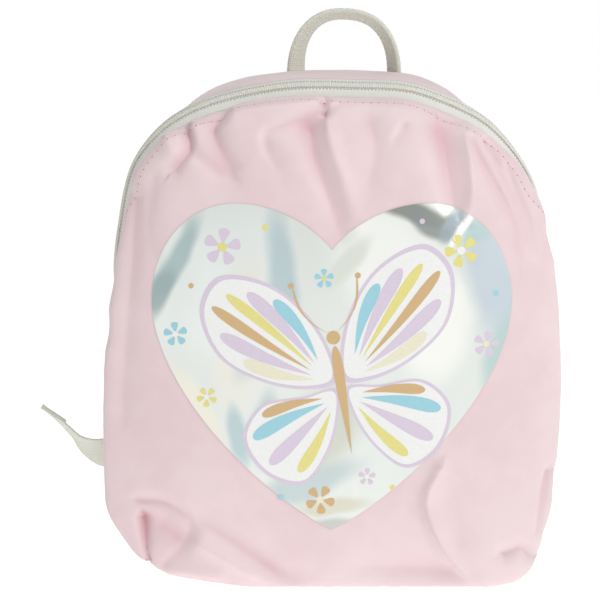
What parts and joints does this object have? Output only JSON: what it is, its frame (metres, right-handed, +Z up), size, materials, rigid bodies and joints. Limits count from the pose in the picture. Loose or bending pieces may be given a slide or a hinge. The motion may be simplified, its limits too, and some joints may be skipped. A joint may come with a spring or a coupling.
{
  "type": "small child's backpack",
  "caption": "Small dome-shaped child's backpack of coated cloth with a foil heart, over-the-top zip, grab handle and padded straps.",
  "frame": {"origin": "middle of the flat underside, half way between the front and the back seam", "axes": "+Z up, the front panel with the heart faces -Y, +X to the right of the front view"},
  "size_m": [0.2776, 0.1468, 0.2997],
  "materials": {
    "pink_cloth": "pale pink coated polyester, fine weave, soft satin sheen, gathered with folds",
    "silver_foil": null,
    "grey_webbing": "ribbed grey-green webbing",
    "zip_tape_cloth": "woven pale grey zip tape",
    "zip_coil_plastic": "closed nylon coil",
    "slider_metal": "pale grey enamelled slider and pull",
    "lock_plastic": "moulded pale grey plastic"
  },
  "bodies": {
    "root": {"front_panel": "pink_cloth", "heart_foil": "silver_foil", "zip_tape_front": "zip_tape_cloth", "zip_coil": "zip_coil_plastic", "zip_tape_rear": "zip_tape_cloth", "zip_slider": "slider_metal", "top_gusset": "pink_cloth", "base_gusset": "pink_cloth", "back_panel": "pink_cloth", "grab_handle": "grey_webbing", "strap_pad_left": "pink_cloth", "lock_loop_left": "grey_webbing", "ladder_lock_left": "lock_plastic", "strap_webbing_left": "grey_webbing", "strap_pad_right": "pink_cloth", "lock_loop_right": "grey_webbing", "ladder_lock_right": "lock_plastic", "strap_webbing_right": "grey_webbing"}
  },
  "joints": []
}
